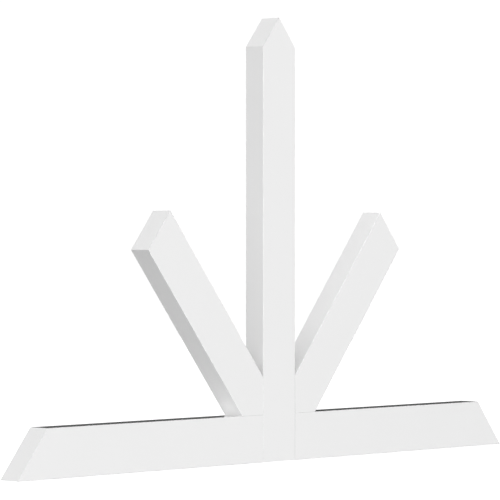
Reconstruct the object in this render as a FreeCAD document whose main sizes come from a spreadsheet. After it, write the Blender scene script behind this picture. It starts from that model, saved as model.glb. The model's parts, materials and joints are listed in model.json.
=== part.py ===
"""Decorative gable truss: a pointed king post, a bottom chord in two halves and two struts.

All boards share one depth and are flush front and back. The chord halves butt against the post, each strut sits
in the corner of post and chord, and every outer end is cut to the roof line. Blind dowels hold the butt joints.

Frame: X along the chord, Y from front to back, Z up. The origin is at the middle of the bottom edge.
"""
import FreeCAD, Part
import math
import os
import Sketcher

# Driving sizes in millimetres. The roof pitch is a rise over a run.
SIZES = {
    "overall_width": 1524.0,      # across the bottom edge, from one raked tip to the other
    "roof_rise": 15.0,            # pitch of the roof line that the outer ends follow
    "roof_run": 12.0,
    "board_depth": 50.8,          # front to back, the same for every board
    "post_face": 101.6,           # face widths as seen from the front
    "chord_face": 101.6,
    "strut_face": 101.6,
    "arris_radius": 0.8,          # easing of the boards' long edges; sawn ends stay crisp
    "dowel_diameter": 12.7,
    "dowel_length": 63.5,
    "dowel_chamfer": 1.2,
    "dowel_clearance": 0.1,       # between a dowel and its hole, on the radius
    "dowel_end_gap": 1.5,         # room for cement past each end of a dowel
    "dowel_stagger": 10.0,        # crossing dowels pass in front of or behind the middle of the depth
    "chord_dowel_low": 24.0,      # heights of the two dowels between a chord half and the post
    "chord_dowel_high": 56.0,
    "strut_dowel_rise": 48.0,     # height above the chord of the dowel between strut and post
    "strut_dowel_reach": 42.0,    # distance from the post of the dowel between strut and chord
}

# Distances that several pieces share, written in terms of the sizes
EAVE = "Sizes.overall_width / 2"
RIDGE = "Sizes.overall_width / 2 * Sizes.roof_rise / Sizes.roof_run"
PITCH = "atan(Sizes.roof_rise / Sizes.roof_run)"
POST_SIDE = "Sizes.post_face / 2"
CHORD_TOP = "Sizes.chord_face"
DOWEL_BEHIND = "Sizes.dowel_stagger"
DOWEL_IN_FRONT = "-Sizes.dowel_stagger"
DOWEL_HOLE_DIAMETER = "Sizes.dowel_diameter + 2 * Sizes.dowel_clearance"
DOWEL_HOLE_DEPTH = "Sizes.dowel_length / 2 + Sizes.dowel_end_gap"

# Centres of the blind dowels on the right: across the depth first, then up the post or out along the chord
CHORD_DOWELS = {
    "low": (DOWEL_IN_FRONT, "Sizes.chord_dowel_low"),
    "high": (DOWEL_IN_FRONT, "Sizes.chord_dowel_high"),
}
STRUT_POST_DOWEL = (DOWEL_IN_FRONT, "Sizes.chord_face + Sizes.strut_dowel_rise")
STRUT_CHORD_DOWEL = ("Sizes.post_face / 2 + Sizes.strut_dowel_reach", DOWEL_BEHIND)

# The origin of a sketch, as a constraint refers to it
ORIGIN = (-1, 1)

# Largest angle, in radians, between an edge and the grain that it follows
GRAIN_TOLERANCE = 1e-6

doc = FreeCAD.newDocument("gable_truss")


def fill_sheet():
    """Spreadsheet with one named cell for each driving size."""
    sheet = doc.addObject("Spreadsheet::Sheet", "Sizes")
    for row, (alias, value) in enumerate(SIZES.items(), start=1):
        sheet.set(f"A{row}", alias)
        sheet.set(f"B{row}", str(value))
        sheet.setAlias(f"B{row}", alias)
    doc.recompute()
    return sheet


sheet = fill_sheet()
half_width = sheet.overall_width / 2
pitch = sheet.roof_rise / sheet.roof_run
ridge_height = half_width * pitch
post_side = sheet.post_face / 2
chord_top = sheet.chord_face


def point(x, y):
    """Point of a sketch."""
    return FreeCAD.Vector(x, y, 0)


def start(line):
    """First end of a line, as a constraint refers to it."""
    return line, 1


def end(line):
    """Second end of a line, as a constraint refers to it."""
    return line, 2


def centre(circle):
    """Centre of a circle, as a constraint refers to it."""
    return circle, 3


def origin_plane(body, role):
    """One of a body's own base planes, such as XZ_Plane."""
    return next(plane for plane in body.Origin.OriginFeatures if plane.Role == role)


def new_sketch(body, name, role, level=None):
    """Empty sketch on a base plane of the body, moved along its normal to the level if one is given."""
    sketch = body.newObject("Sketcher::SketchObject", name)
    sketch.AttachmentSupport = [(origin_plane(body, role), "")]
    sketch.MapMode = "FlatFace"
    if level:
        sketch.setExpression("AttachmentOffset.Base.z", level)
    return sketch


def constrain(sketch, kind, *references):
    """Geometric constraint of a sketch."""
    return sketch.addConstraint(Sketcher.Constraint(kind, *references))


def dimension(sketch, kind, references, drawn, expression):
    """Dimension of a sketch, drawn near its value and bound to the sizes."""
    index = sketch.addConstraint(Sketcher.Constraint(kind, *references, drawn))
    sketch.setExpression(f"Constraints[{index}]", expression)


def closed_outline(sketch, corners):
    """Closed chain of lines through the corners. Returns the lines in order."""
    ends = corners[1:] + corners[:1]
    lines = [sketch.addGeometry(Part.LineSegment(a, b)) for a, b in zip(corners, ends)]
    for line, following in zip(lines, lines[1:] + lines[:1]):
        constrain(sketch, "Coincident", *end(line), *start(following))
    return lines


def roof_line(sketch):
    """Construction line of the right-hand roof plane, from the eave at the bottom edge up to the ridge."""
    line = sketch.addGeometry(Part.LineSegment(point(half_width, 0), point(0, ridge_height)), True)
    constrain(sketch, "Horizontal", *ORIGIN, *start(line))
    constrain(sketch, "Vertical", *ORIGIN, *end(line))
    dimension(sketch, "DistanceX", (*ORIGIN, *start(line)), half_width, EAVE)
    dimension(sketch, "DistanceY", (*ORIGIN, *end(line)), ridge_height, RIDGE)
    return line


def pad_board(body, sketch, grain):
    """Board padded from its outline about the middle of the depth, with the edges along its grain eased."""
    board = body.newObject("PartDesign::Pad", f"{body.Name}_board")
    board.Profile = sketch
    board.SideType = "Symmetric"
    board.setExpression("Length", "Sizes.board_depth")
    doc.recompute()
    grain.normalize()
    along_grain = [
        f"Edge{number}"
        for number, edge in enumerate(board.Shape.Edges, start=1)
        if edge.tangentAt(edge.FirstParameter).cross(grain).Length < GRAIN_TOLERANCE
    ]
    arrises = body.newObject("PartDesign::Fillet", f"{body.Name}_arrises")
    arrises.Base = (board, along_grain)
    arrises.setExpression("Radius", "Sizes.arris_radius")
    doc.recompute()


def drill(body, name, role, level, centres, reverse):
    """Blind dowel holes from a base plane moved to the level, against its normal unless reversed."""
    sketch = new_sketch(body, f"{name}_centres", role, level)
    drawn_radius = sheet.dowel_diameter / 2
    for across, along in centres:
        circle = sketch.addGeometry(Part.Circle(point(0, 0), FreeCAD.Vector(0, 0, 1), drawn_radius))
        dimension(sketch, "DistanceX", (*ORIGIN, *centre(circle)), drawn_radius, across)
        dimension(sketch, "DistanceY", (*ORIGIN, *centre(circle)), drawn_radius, along)
        dimension(sketch, "Diameter", (circle,), 2 * drawn_radius, DOWEL_HOLE_DIAMETER)
    doc.recompute()
    hole = body.newObject("PartDesign::Hole", name)
    hole.Profile = sketch
    hole.Reversed = reverse
    hole.DepthType = "Dimension"
    hole.DrillPoint = "Flat"
    hole.setExpression("Diameter", DOWEL_HOLE_DIAMETER)
    hole.setExpression("Depth", DOWEL_HOLE_DEPTH)
    doc.recompute()
    return hole


def make_king_post():
    """Upright board through the chord, topped by two bevels that lie in the roof planes and meet in a ridge."""
    body = doc.addObject("PartDesign::Body", "king_post")
    sketch = new_sketch(body, "post_outline", "XZ_Plane")
    roof = roof_line(sketch)
    shoulder = ridge_height - pitch * post_side
    corners = [
        point(-post_side, 0),
        point(post_side, 0),
        point(post_side, shoulder),
        point(0, ridge_height),
        point(-post_side, shoulder),
    ]
    bottom, right_side, right_bevel, left_bevel, left_side = closed_outline(sketch, corners)
    constrain(sketch, "Vertical", right_side)
    constrain(sketch, "Vertical", left_side)
    constrain(sketch, "Horizontal", bottom)
    constrain(sketch, "Symmetric", *start(bottom), *end(bottom), *ORIGIN)
    constrain(sketch, "Coincident", *end(right_bevel), *end(roof))
    constrain(sketch, "PointOnObject", *start(right_bevel), roof)
    constrain(sketch, "Equal", right_side, left_side)
    dimension(sketch, "DistanceX", (*start(bottom), *end(bottom)), sheet.post_face, "Sizes.post_face")
    pad_board(body, sketch, FreeCAD.Vector(0, 0, 1))
    centres = [*CHORD_DOWELS.values(), STRUT_POST_DOWEL]
    right_holes = drill(body, "post_holes", "YZ_Plane", POST_SIDE, centres, False)
    left_holes = body.newObject("PartDesign::Mirrored", "post_holes_left")
    left_holes.Originals = [right_holes]
    left_holes.MirrorPlane = (origin_plane(body, "YZ_Plane"), [""])
    body.Tip = left_holes
    return body


def make_right_chord():
    """Right half of the bottom chord, square against the post and raked to the roof line at its outer end."""
    body = doc.addObject("PartDesign::Body", "right_chord")
    sketch = new_sketch(body, "chord_outline", "XZ_Plane")
    roof = roof_line(sketch)
    corners = [
        point(post_side, 0),
        point(half_width, 0),
        point(half_width - chord_top / pitch, chord_top),
        point(post_side, chord_top),
    ]
    bottom, end_cut, top, butt = closed_outline(sketch, corners)
    constrain(sketch, "Coincident", *end(bottom), *start(roof))
    constrain(sketch, "PointOnObject", *end(end_cut), roof)
    constrain(sketch, "Horizontal", bottom)
    constrain(sketch, "Horizontal", top)
    constrain(sketch, "Vertical", butt)
    dimension(sketch, "DistanceX", (*ORIGIN, *start(bottom)), post_side, POST_SIDE)
    dimension(sketch, "DistanceY", (*end(butt), *start(butt)), chord_top, "Sizes.chord_face")
    pad_board(body, sketch, FreeCAD.Vector(1, 0, 0))
    drill(body, "chord_post_holes", "YZ_Plane", POST_SIDE, CHORD_DOWELS.values(), True)
    drill(body, "chord_strut_hole", "XY_Plane", CHORD_TOP, [STRUT_CHORD_DOWEL], False)
    return body


def make_right_strut():
    """Right strut, leaning out at the roof pitch, its centre line through the corner of post and chord.

    Its foot has a level seat on the chord and an upright seat on the post. Its head is cut to the roof line.
    """
    body = doc.addObject("PartDesign::Body", "right_strut")
    sketch = new_sketch(body, "strut_outline", "XZ_Plane")
    roof = roof_line(sketch)
    lean = math.atan(pitch)
    seat = sheet.strut_face / 2 / math.sin(lean)
    upright = sheet.strut_face / 2 / math.cos(lean)
    head_low = (ridge_height - chord_top + pitch * (post_side + seat)) / (2 * pitch)
    head_high = (ridge_height - chord_top - upright + pitch * post_side) / (2 * pitch)
    corners = [
        point(post_side, chord_top),
        point(post_side + seat, chord_top),
        point(head_low, ridge_height - pitch * head_low),
        point(head_high, ridge_height - pitch * head_high),
        point(post_side, chord_top + upright),
    ]
    chord_seat, lower_edge, head_cut, upper_edge, post_seat = closed_outline(sketch, corners)
    constrain(sketch, "Horizontal", chord_seat)
    constrain(sketch, "Vertical", post_seat)
    constrain(sketch, "PointOnObject", *start(head_cut), roof)
    constrain(sketch, "PointOnObject", *end(head_cut), roof)
    constrain(sketch, "Parallel", lower_edge, upper_edge)
    half_face = sheet.strut_face / 2
    corner = start(chord_seat)
    dimension(sketch, "DistanceX", (*ORIGIN, *corner), post_side, POST_SIDE)
    dimension(sketch, "DistanceY", (*ORIGIN, *corner), chord_top, CHORD_TOP)
    dimension(sketch, "Angle", (lower_edge,), lean, PITCH)
    dimension(sketch, "Distance", (*corner, lower_edge), half_face, "Sizes.strut_face / 2")
    dimension(sketch, "Distance", (*corner, upper_edge), half_face, "Sizes.strut_face / 2")
    pad_board(body, sketch, FreeCAD.Vector(1, 0, pitch))
    drill(body, "strut_post_hole", "YZ_Plane", POST_SIDE, [STRUT_POST_DOWEL], True)
    drill(body, "strut_chord_hole", "XY_Plane", CHORD_TOP, [STRUT_CHORD_DOWEL], True)
    return body


def make_dowel(name, rotation, x, y, z):
    """Plain round dowel with chamfered ends, its middle at the given place, which is on the joint's plane."""
    body = doc.addObject("PartDesign::Body", name)
    sketch = new_sketch(body, f"{name}_round", "XY_Plane")
    drawn_radius = sheet.dowel_diameter / 2
    circle = sketch.addGeometry(Part.Circle(point(0, 0), FreeCAD.Vector(0, 0, 1), drawn_radius))
    constrain(sketch, "Coincident", *centre(circle), *ORIGIN)
    dimension(sketch, "Diameter", (circle,), 2 * drawn_radius, "Sizes.dowel_diameter")
    rod = body.newObject("PartDesign::Pad", f"{name}_rod")
    rod.Profile = sketch
    rod.SideType = "Symmetric"
    rod.setExpression("Length", "Sizes.dowel_length")
    doc.recompute()
    rims = [f"Edge{n}" for n, edge in enumerate(rod.Shape.Edges, start=1) if edge.isClosed()]
    ends = body.newObject("PartDesign::Chamfer", f"{name}_ends")
    ends.Base = (rod, rims)
    ends.setExpression("Size", "Sizes.dowel_chamfer")
    body.Placement = FreeCAD.Placement(FreeCAD.Vector(), rotation)
    for axis, place in zip("xyz", (x, y, z)):
        body.setExpression(f"Placement.Base.{axis}", place)
    return body


def mirror_left(source, name):
    """Left-hand twin of a right-hand piece."""
    twin = doc.addObject("Part::Mirroring", name)
    twin.Source = source
    twin.Normal = FreeCAD.Vector(1, 0, 0)
    return twin


def group_both_sides(name, dowels):
    """One sub-part that holds the dowels of the right side and their left-hand twins."""
    group = doc.addObject("Part::Compound", name)
    group.Links = dowels + [mirror_left(dowel, f"{dowel.Name}_left") for dowel in dowels]
    return group


def make_dowels():
    """Dowels of the chord joints and of the strut joints, as two sub-parts."""
    level = FreeCAD.Rotation(FreeCAD.Vector(0, 1, 0), 90)
    upright = FreeCAD.Rotation()
    chord_dowels = [
        make_dowel(f"chord_dowel_{place}", level, POST_SIDE, across, height)
        for place, (across, height) in CHORD_DOWELS.items()
    ]
    across, height = STRUT_POST_DOWEL
    post_dowel = make_dowel("strut_post_dowel", level, POST_SIDE, across, height)
    out, across = STRUT_CHORD_DOWEL
    chord_dowel = make_dowel("strut_chord_dowel", upright, out, across, CHORD_TOP)
    return [
        group_both_sides("chord_dowels", chord_dowels),
        group_both_sides("strut_dowels", [post_dowel, chord_dowel]),
    ]


def check_document(subparts):
    """Stop if a feature failed, if a hole or its mirror cut nothing, or if a sub-part has no sound solid."""
    for item in doc.Objects:
        if {"Invalid", "Error"} & set(item.State):
            raise RuntimeError(f"{item.Label} failed: {item.State}")
        if item.TypeId in ("PartDesign::Hole", "PartDesign::Mirrored"):
            if item.Shape.Volume >= item.BaseFeature.Shape.Volume:
                raise RuntimeError(f"{item.Label} cuts nothing")
    for item in subparts:
        if item.Shape.isNull() or not item.Shape.isValid() or not item.Shape.Solids:
            raise RuntimeError(f"{item.Label} has no sound solid")


def write_parts(subparts):
    """One file for each sub-part, named by its label."""
    os.makedirs("parts", exist_ok=True)
    for item in subparts:
        item.Shape.exportStep(f"parts/{item.Label}.step")


king_post = make_king_post()
right_chord = make_right_chord()
right_strut = make_right_strut()
left_chord = mirror_left(right_chord, "left_chord")
left_strut = mirror_left(right_strut, "left_strut")
subparts = [king_post, left_chord, right_chord, left_strut, right_strut, *make_dowels()]
doc.recompute()
check_document(subparts)
write_parts(subparts)
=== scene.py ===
import json
import math

import bpy
import numpy as np
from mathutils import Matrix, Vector


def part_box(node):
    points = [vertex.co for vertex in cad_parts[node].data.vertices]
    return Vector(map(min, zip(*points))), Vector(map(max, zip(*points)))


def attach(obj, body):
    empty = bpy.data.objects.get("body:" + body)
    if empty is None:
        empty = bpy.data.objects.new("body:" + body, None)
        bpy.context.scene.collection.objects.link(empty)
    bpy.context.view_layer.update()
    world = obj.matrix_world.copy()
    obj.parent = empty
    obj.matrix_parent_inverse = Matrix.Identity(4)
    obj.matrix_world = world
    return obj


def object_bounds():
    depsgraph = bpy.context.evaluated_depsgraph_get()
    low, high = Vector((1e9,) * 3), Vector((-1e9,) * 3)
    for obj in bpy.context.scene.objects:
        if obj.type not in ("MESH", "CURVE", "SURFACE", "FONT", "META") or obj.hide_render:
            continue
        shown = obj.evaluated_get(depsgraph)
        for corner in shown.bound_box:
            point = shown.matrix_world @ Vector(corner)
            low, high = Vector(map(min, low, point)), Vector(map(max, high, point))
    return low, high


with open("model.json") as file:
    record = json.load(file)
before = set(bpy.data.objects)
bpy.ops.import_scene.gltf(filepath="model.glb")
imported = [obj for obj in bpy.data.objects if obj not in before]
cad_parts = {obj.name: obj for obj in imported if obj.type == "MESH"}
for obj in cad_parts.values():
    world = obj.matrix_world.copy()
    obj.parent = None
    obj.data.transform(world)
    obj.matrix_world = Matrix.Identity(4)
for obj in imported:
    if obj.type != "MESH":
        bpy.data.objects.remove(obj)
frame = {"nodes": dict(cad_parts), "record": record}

cad_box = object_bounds()
nodes = frame["nodes"]
mounts = {mount["name"]: mount for mount in frame["record"]["mounts"]}

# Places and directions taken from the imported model. A strut climbs as steeply as the roof falls: its lower
# edge leaves the chord at the toe, and its upper edge leaves the post at the throat.
half_post, half_depth, ridge_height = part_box("king_post")[1]
chord_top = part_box("right_chord")[1].z
strut_out, _, strut_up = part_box("right_strut")[1]
roof_normal = Vector(mounts["right_chord_end"]["axis"])
roof_lean = math.atan2(roof_normal.x, roof_normal.z)
pitch = math.tan(roof_lean)
strut_toe = strut_out - (ridge_height - pitch * strut_out - chord_top) / pitch
strut_throat = strut_up - pitch * ((ridge_height - strut_up) / pitch - half_post)

# Boards: the name of the finish, the angle of its grain from X towards Z, a start for its patterns so that no
# two boards look alike, and whether the board is ripped from a wider one
BOARDS = {
    "king_post": ("post_board", math.pi / 2, (0.0, 0.0, 0.0), False),
    "left_chord": ("left_chord_board", 0.0, (3.1, 0.0, 0.2), False),
    "right_chord": ("right_chord_board", 0.0, (5.7, 0.0, 0.4), False),
    "left_strut": ("left_strut_board", math.pi - roof_lean, (7.3, 0.0, 0.6), True),
    "right_strut": ("right_strut_board", roof_lean, (9.9, 0.0, 0.8), True),
}

# Camera that saw the photo: a long lens, level with the middle of the post, far to the front left
CAMERA_PLACE = Vector((-4.8359, -4.4442, 0.4770))
CAMERA_AIM = Vector((0.73172, 0.68158, -0.003592))
CAMERA_LENS_MM = 219.7
SENSOR_MM = 36.0

# Soft glow, brightest from the upper front left. Directions below the horizon add the light that a floor
# returns, in full from where they dip by the second sine of FLOOR_RETURN_DIPS.
GLOW_TOWARDS = Vector((-0.483, -0.614, 0.625)).normalized()
GLOW = 0.416
GLOW_FALLOFF = 1.62
DOWN = Vector((0.0, 0.0, -1.0))
FLOOR_RETURN = 0.74
FLOOR_RETURN_DIPS = (0.0, 0.4)

# Large soft lights: the direction that each stands in, its distance and its power in watts. The width of each
# is LIGHT_SPREAD times its distance.
LIGHT_SPREAD = 0.8
LIGHTS = {
    "front": (Vector((0.05, -1.00, 0.03)), 15.0, 1780.0),
    "left": (Vector((-0.93, -0.32, 0.20)), 20.0, 1450.0),
    "left_rear": (Vector((-0.87, 0.47, 0.18)), 20.0, 1390.0),
    "rear": (Vector((0.15, 0.69, 0.71)), 20.0, 2370.0),
    "right": (Vector((0.88, 0.46, -0.10)), 20.0, 2000.0),
}

# White surroundings, bright enough to show as plain white
WHITE = (1.0, 1.0, 1.0, 1.0)
BACKDROP_STRENGTH = 1.05
FLOOR_HALF = 6.0
FLOOR_GREY = (0.5, 0.5, 0.5, 1.0)
FLOOR_EMISSION = 0.8

# What all the plastics share: bump heights are given in millimetres, and noise lies evenly about its middle
MILLIMETRE = 0.001
PLASTIC_IOR = 1.5
NOISE_MIDDLE = 0.5


class Signal:
    """A shader socket that takes part in Python expressions: each operator adds one Math node."""

    def __init__(self, graph, socket):
        self.graph = graph
        self.socket = socket

    def _math(self, operation, *values):
        return self.graph.node("ShaderNodeMath", {"operation": operation}, dict(enumerate(values)))

    def __add__(self, other):
        return self._math("ADD", self, other)

    def __radd__(self, other):
        return self._math("ADD", other, self)

    def __sub__(self, other):
        return self._math("SUBTRACT", self, other)

    def __rsub__(self, other):
        return self._math("SUBTRACT", other, self)

    def __mul__(self, other):
        return self._math("MULTIPLY", self, other)

    def __rmul__(self, other):
        return self._math("MULTIPLY", other, self)

    def __pow__(self, other):
        return self._math("POWER", self, other)

    def __rpow__(self, other):
        return self._math("POWER", other, self)

    def __abs__(self):
        return self._math("ABSOLUTE", self)

    def sine(self):
        return self._math("SINE", self)


class Graph:
    """Node tree of a material or of the world."""

    def __init__(self, owner):
        owner.use_nodes = True
        self.tree = owner.node_tree
        self.tree.nodes.clear()

    def node(self, kind, settings=None, inputs=None, output=0):
        """Add a node of this kind with its settings, then the values or links of its sockets."""
        made = self.tree.nodes.new(kind)
        for name, value in (settings or {}).items():
            setattr(made, name, value)
        for name, value in (inputs or {}).items():
            if isinstance(value, Signal):
                self.tree.links.new(value.socket, made.inputs[name])
            else:
                made.inputs[name].default_value = value
        return Signal(self, made.outputs[output]) if made.outputs else None

    def ramp(self, value, low, high):
        """Smooth step from 0 at low to 1 at high."""
        settings = {"interpolation_type": "SMOOTHSTEP"}
        inputs = {"Value": value, "From Min": low, "From Max": high}
        return self.node("ShaderNodeMapRange", settings, inputs)

    def noise(self, place, scale, detail):
        """Even fractal noise between 0 and 1."""
        return self.node("ShaderNodeTexNoise", None, {"Vector": place, "Scale": scale, "Detail": detail})

    def dot(self, first, second):
        """Dot product of two vectors, as a value."""
        settings = {"operation": "DOT_PRODUCT"}
        return self.node("ShaderNodeVectorMath", settings, {0: first, 1: second}, "Value")

    def distance(self, first, second):
        """Distance between two points, as a value."""
        settings = {"operation": "DISTANCE"}
        return self.node("ShaderNodeVectorMath", settings, {0: first, 1: second}, "Value")

    def colour(self, red, green, blue):
        """Colour made of three values."""
        return self.node("ShaderNodeCombineColor", None, {"Red": red, "Green": green, "Blue": blue})

    def plastic(self, colour, roughness, height_mm, coat=None):
        """Finish the material as a plastic with a fine relief in millimetres, with or without a coat."""
        relief = {"Strength": 1.0, "Distance": MILLIMETRE, "Height": height_mm}
        bump = self.node("ShaderNodeBump", None, relief)
        inputs = {"Base Color": colour, "Roughness": roughness, "IOR": PLASTIC_IOR, "Normal": bump}
        surface = self.node("ShaderNodeBsdfPrincipled", None, inputs | (coat or {}))
        self.node("ShaderNodeOutputMaterial", None, {"Surface": surface})


# Board finish. A face counts as sawn by the cosine between its normal and the grain, and as planed by the
# cosine between its normal and the direction across the grain: not below the first value, in full from the
# second.
SAWN_COSINES = (0.3, 0.5)
PLANED_COSINES = (0.6, 0.8)
# Patterns, in cells per metre. The grain is turned to X, along which the streaks are long. A pore is a pit in
# the middle of its cell, whose wall rises between two shares of the cell.
STREAK_STRETCH = (2.0, 240.0, 240.0)
PEEL_SCALE = 420.0
CLOUD_SCALE = 7.0
PORE_SCALE = 900.0
PORE_WALL = (0.08, 0.22)
# Saw marks are arcs about the saw's arbor, seen along the grain: radians per metre of radius, thrown off a
# little by the clouding
SAW_FLATTEN = (0.0, 1.0, 1.0)
SAW_ARBOR = (0.0, -0.15, 0.04)
SAW_MARK_RATE = 4200.0
SAW_MARK_DRIFT = 4.0
# Shade, then what clouding, pits and sawing change in it. The darkening in the pits is painted shade.
BOARD_SHADE = 0.885
CLOUD_SHADE = 0.016
PIT_PAINTED_SHADE = 0.05
SAWN_SHADE = 0.047
# Roughness of the skin, then what streaks, orange peel and cutting change in it
SKIN_ROUGHNESS = 0.17
STREAK_ROUGHNESS = 0.08
PEEL_ROUGHNESS = 0.05
CUT_ROUGHNESS = 0.42
COAT_ROUGHNESS = 0.05
# Relief
STREAK_HEIGHT_MM = 0.012
PEEL_HEIGHT_MM = 0.006
SAW_MARK_HEIGHT_MM = 0.008
PIT_DEPTH_MM = 0.05


def board_finish(name, grain_angle, pattern_start, ripped):
    """White cellular PVC board whose grain runs at the given angle from X towards Z.

    The extruded skin is satin, with faint streaks along the grain and a fine orange peel. A face that crosses
    the grain is sawn: it is more matt and shows saw marks and the tiny pores of the foam, with painted shade
    darkening the pits. The long edges of a ripped board are planed: as matt as the sawn faces, but plain.
    """
    material = bpy.data.materials.new(name)
    graph = Graph(material)
    grain = Vector((math.cos(grain_angle), 0.0, math.sin(grain_angle)))
    across = Vector((-grain.z, 0.0, grain.x))
    place = graph.node("ShaderNodeTexCoord", None, None, "Object")
    normal = graph.node("ShaderNodeNewGeometry", None, None, "True Normal")
    turn = {"Vector": place, "Rotation": (0.0, grain_angle, 0.0), "Location": pattern_start}
    turned = graph.node("ShaderNodeMapping", None, turn)

    sawn = graph.ramp(abs(graph.dot(normal, grain)), *SAWN_COSINES)
    satin = 1 - sawn
    if ripped:
        satin = satin * (1 - graph.ramp(abs(graph.dot(normal, across)), *PLANED_COSINES))

    streak_place = graph.node("ShaderNodeMapping", None, {"Vector": turned, "Scale": STREAK_STRETCH})
    streaks = graph.noise(streak_place, scale=1.0, detail=3.0)
    peel = graph.noise(turned, PEEL_SCALE, detail=2.0)
    cloud = graph.noise(turned, CLOUD_SCALE, detail=3.0)
    pores = graph.node("ShaderNodeTexVoronoi", None, {"Vector": turned, "Scale": PORE_SCALE}, "Distance")
    pits_relief_and_painted_shade = sawn * (1 - graph.ramp(pores, *PORE_WALL))
    saw_place = graph.node("ShaderNodeMapping", None, {"Vector": turned, "Scale": SAW_FLATTEN})
    saw_radius = graph.distance(saw_place, SAW_ARBOR)
    saw_marks = (saw_radius * SAW_MARK_RATE + cloud * SAW_MARK_DRIFT).sine()

    # The pits are darkened with painted shade, standing in for the shadow inside the pores.
    shade = BOARD_SHADE + (cloud - NOISE_MIDDLE) * CLOUD_SHADE - pits_relief_and_painted_shade * PIT_PAINTED_SHADE - sawn * SAWN_SHADE
    skin_roughness = (streaks - NOISE_MIDDLE) * STREAK_ROUGHNESS + (peel - NOISE_MIDDLE) * PEEL_ROUGHNESS
    roughness = SKIN_ROUGHNESS + skin_roughness + (1 - satin) * CUT_ROUGHNESS
    skin_height = (streaks * STREAK_HEIGHT_MM + peel * PEEL_HEIGHT_MM) * satin
    sawn_height = (saw_marks * SAW_MARK_HEIGHT_MM - pits_relief_and_painted_shade * PIT_DEPTH_MM) * sawn
    coat = {"Coat Weight": satin, "Coat Roughness": COAT_ROUGHNESS, "Coat IOR": PLASTIC_IOR}
    graph.plastic(graph.colour(shade, shade, shade), roughness, skin_height + sawn_height, coat)
    return material


# Dowel finish: cells per metre of the scuffs and of the slow change of tone, then what each of them changes
SCUFF_SCALE = 900.0
TONE_SCALE = 60.0
ROD_SHADE = 0.56
TONE_SHADE = 0.08
SCUFF_SHADE = 0.05
ROD_BLUE_SHARE = 0.97
ROD_ROUGHNESS = 0.45
SCUFF_ROUGHNESS = 0.2
SCUFF_HEIGHT_MM = 0.03


def dowel_finish():
    """Grey extruded rod, scuffed all over so that cement can key to it."""
    material = bpy.data.materials.new("dowel_rod")
    graph = Graph(material)
    place = graph.node("ShaderNodeTexCoord", None, None, "Object")
    scuffs = graph.noise(place, SCUFF_SCALE, detail=4.0)
    tone = graph.noise(place, TONE_SCALE, detail=2.0)
    shade = ROD_SHADE + tone * TONE_SHADE + scuffs * SCUFF_SHADE
    colour = graph.colour(shade, shade, shade * ROD_BLUE_SHARE)
    graph.plastic(colour, ROD_ROUGHNESS + scuffs * SCUFF_ROUGHNESS, scuffs * SCUFF_HEIGHT_MM)
    return material


# Cement finish: cells per metre of its unevenness, then what that changes. Its grey is partly painted shade
# that darkens the joint lines.
UNEVEN_SCALE = 160.0
CEMENT_GREY_WITH_PAINTED_SHADE = 0.30
UNEVEN_SHADE = 0.12
CEMENT_ROUGHNESS = 0.3
UNEVEN_ROUGHNESS = 0.2
UNEVEN_HEIGHT_MM = 0.04


def cement_finish_with_painted_shade():
    """Cured joint cement: a greyish film, a little uneven, with a soft gloss; its grey is partly painted
    shade.
    """
    material = bpy.data.materials.new("joint_cement_with_painted_shade")
    graph = Graph(material)
    place = graph.node("ShaderNodeTexCoord", None, None, "Object")
    uneven = graph.noise(place, UNEVEN_SCALE, detail=3.0)
    # This grey is partly the cement's own and partly painted shade, standing in for the shadow in the joint
    # grooves.
    shade = CEMENT_GREY_WITH_PAINTED_SHADE + uneven * UNEVEN_SHADE
    roughness = CEMENT_ROUGHNESS + uneven * UNEVEN_ROUGHNESS
    graph.plastic(graph.colour(shade, shade, shade), roughness, uneven * UNEVEN_HEIGHT_MM)
    return material


def floor_finish():
    """White floor without gloss that is lit from within as well, so that it shows no shading."""
    material = bpy.data.materials.new("floor")
    graph = Graph(material)
    surface = graph.node(
        "ShaderNodeBsdfPrincipled",
        None,
        {
            "Base Color": FLOOR_GREY,
            "Roughness": 1.0,
            "Specular IOR Level": 0.0,
            "Emission Color": WHITE,
            "Emission Strength": FLOOR_EMISSION,
        },
    )
    graph.node("ShaderNodeOutputMaterial", None, {"Surface": surface})
    return material


def add_object(name, data):
    """Put a mesh, a lamp or a camera into the scene as an object of this name."""
    made = bpy.data.objects.new(name, data)
    bpy.context.scene.collection.objects.link(made)
    return made


def add_mesh(name, points, faces, material):
    """Put a mesh into the scene, from an array of points and the faces that join them."""
    mesh = bpy.data.meshes.new(name)
    mesh.from_pydata(points.tolist(), [], faces)
    mesh.materials.append(material)
    return add_object(name, mesh)


def dress(node, material):
    """Give a CAD node its finish."""
    mesh = nodes[node].data
    mesh.materials.clear()
    mesh.materials.append(material)


# Cement in the joints: it fills the groove that a board's eased edge leaves, up to a depth below the face.
# Its surface is hollowed by the sag, and its edges bite into the boards.
EASED_EDGE = 0.0008
POST_CEMENT_DEPTH = 0.0002
FOOT_CEMENT_DEPTH = 0.0001
CEMENT_SAG = 0.00006
CEMENT_BITE = 0.00002


def cement_profile(depth, points=7):
    """Section of a cement bead as (into the through board, out of the face) pairs.

    The section runs from the butted board across a hollow to the eased edge, then back by the tip of the
    groove. The hollow is a parabola of depth CEMENT_SAG; the eased edge is a quarter circle of radius
    EASED_EDGE.
    """
    reach = EASED_EDGE - math.sqrt(EASED_EDGE**2 - (EASED_EDGE - depth) ** 2)
    s = np.linspace(0.0, 1.0, points)
    into = -CEMENT_BITE + s * (reach + 2 * CEMENT_BITE)
    out = -depth - CEMENT_SAG * 4 * s * (1 - s)
    return np.concatenate([np.stack([into, out], axis=-1), [[0.0, -EASED_EDGE]]])


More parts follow.
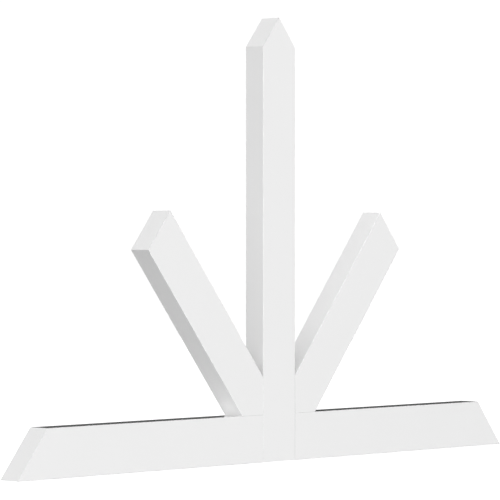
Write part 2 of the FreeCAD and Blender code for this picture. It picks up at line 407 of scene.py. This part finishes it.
def sweep(profile, start, end, into, out):
    """Profile carried along a straight path. Returns the corners of the closed prism and its faces.

    A corner is path point + first coordinate * into + second coordinate * out, worked out for all at once.
    """
    start, end, into, out = (np.array(vector, float) for vector in (start, end, into, out))
    if np.dot(np.cross(into, out), end - start) > 0:
        profile = profile[::-1]
    section = profile[:, :1] * into + profile[:, 1:] * out
    corners = np.concatenate([section + start, section + end])
    count = len(profile)
    near = np.arange(count)
    following = np.roll(near, -1)
    sides = np.stack([near, near + count, following + count, following], axis=-1)
    return corners, [*sides.tolist(), near.tolist(), (near[::-1] + count).tolist()]


def make_cement():
    """Beads of cement in the joints, front and back: up the sides of the post and under the struts' feet;
    their grey is partly painted shade.
    """
    post_profile = cement_profile(POST_CEMENT_DEPTH)
    foot_profile = cement_profile(FOOT_CEMENT_DEPTH)
    corners, faces = [], []
    for side in (-1, 1):
        for face in (-1, 1):
            y = face * half_depth
            bottom = (side * half_post, y, 0.0)
            throat = (side * half_post, y, strut_throat)
            heel = (side * half_post, y, chord_top)
            toe = (side * strut_toe, y, chord_top)
            up_post = (post_profile, bottom, throat, (-side, 0, 0))
            under_foot = (foot_profile, heel, toe, (0, 0, -1))
            for profile, start, end, into in (up_post, under_foot):
                more_corners, more_faces = sweep(profile, start, end, into, (0, face, 0))
                base = sum(map(len, corners))
                corners.append(more_corners)
                faces += [[base + index for index in polygon] for polygon in more_faces]
    cement = add_mesh("joint_cement_with_painted_shade", np.concatenate(corners), faces, cement_finish_with_painted_shade())
    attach(cement, "root")


def make_floor():
    """Flat square floor at the height of the base: a grid of two parameters from -FLOOR_HALF to FLOOR_HALF.

    Only the camera sees it. The light that it would return to the truss is part of the glow.
    """
    across, along = np.meshgrid([-FLOOR_HALF, FLOOR_HALF], [-FLOOR_HALF, FLOOR_HALF])
    points = np.stack([across, along, np.full_like(across, cad_box[0].z)], axis=-1).reshape(-1, 3)
    floor = add_mesh("floor", points, [(0, 1, 3, 2)], floor_finish())
    floor.visible_diffuse = False
    floor.visible_glossy = False
    floor.visible_shadow = False


def make_world():
    """Glow for the truss and a white backdrop for the camera.

    The glow is GLOW times a power of half of one plus the cosine between a direction and GLOW_TOWARDS.
    """
    world = bpy.data.worlds.new("studio")
    bpy.context.scene.world = world
    graph = Graph(world)
    direction = graph.node("ShaderNodeTexCoord", None, None, "Generated")
    glow = ((graph.dot(direction, GLOW_TOWARDS) + 1) * 0.5) ** GLOW_FALLOFF * GLOW
    below = graph.ramp(graph.dot(direction, DOWN), *FLOOR_RETURN_DIPS)
    light = graph.node("ShaderNodeBackground", None, {"Color": glow * (1 + below * FLOOR_RETURN)})
    backdrop = graph.node("ShaderNodeBackground", None, {"Color": WHITE, "Strength": BACKDROP_STRENGTH})
    seen = graph.node("ShaderNodeLightPath", None, None, "Is Camera Ray")
    mixed = graph.node("ShaderNodeMixShader", None, {0: seen, 1: light, 2: backdrop})
    graph.node("ShaderNodeOutputWorld", None, {"Surface": mixed})


def make_light(name, towards, distance, power):
    """Square soft light that faces the middle of the truss from the given direction."""
    lamp = bpy.data.lights.new(name, "AREA")
    lamp.energy = power
    lamp.size = LIGHT_SPREAD * distance
    light = add_object(name, lamp)
    middle = (cad_box[0] + cad_box[1]) / 2
    light.location = middle + towards.normalized() * distance
    light.rotation_euler = (-towards).to_track_quat("-Z", "Y").to_euler()
    light.visible_camera = False
    light.visible_glossy = False


def make_camera():
    """Camera at the photo's viewing angle."""
    data = bpy.data.cameras.new("camera")
    data.lens = CAMERA_LENS_MM
    data.sensor_width = SENSOR_MM
    camera = add_object("camera", data)
    camera.location = CAMERA_PLACE
    camera.rotation_euler = CAMERA_AIM.to_track_quat("-Z", "Y").to_euler()
    bpy.context.scene.camera = camera


for board, finish in BOARDS.items():
    dress(board, board_finish(*finish))
for group in ("chord_dowels", "strut_dowels"):
    dress(group, dowel_finish())

make_cement()
make_floor()
make_world()
for name, values in LIGHTS.items():
    make_light(name, *values)
make_camera()
bpy.context.scene.view_settings.view_transform = "Standard"
